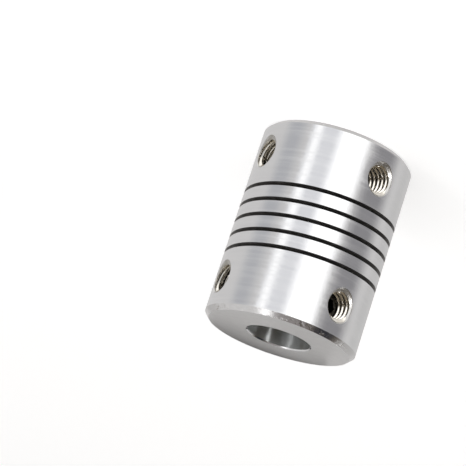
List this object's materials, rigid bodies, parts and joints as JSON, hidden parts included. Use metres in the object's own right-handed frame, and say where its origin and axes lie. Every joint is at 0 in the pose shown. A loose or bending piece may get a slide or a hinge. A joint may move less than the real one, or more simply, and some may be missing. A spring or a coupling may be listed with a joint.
{
  "type": "helical beam coupling",
  "caption": "Helical beam shaft coupling: a one-piece turned aluminium barrel with a helical slit, a stepped shaft bore and socket set screws in radial tapped holes.",
  "frame": {"origin": "centre of the lower end face, the small-bore end that the coupling stands on", "axes": "+Z along the shaft axis towards the large-bore end, -Y the front, midway between the two lower set screws"},
  "size_m": [0.019, 0.019, 0.025],
  "materials": {
    "turned_aluminium": "bright, finely turned, with fresh-cut slit walls and thread turns",
    "black_oxide_steel": "black oxide, lightly oiled"
  },
  "bodies": {
    "root": {"barrel": "turned_aluminium", "upper_left_set_screw": "black_oxide_steel", "upper_right_set_screw": "black_oxide_steel", "lower_left_set_screw": "black_oxide_steel", "lower_right_set_screw": "black_oxide_steel"}
  },
  "joints": []
}
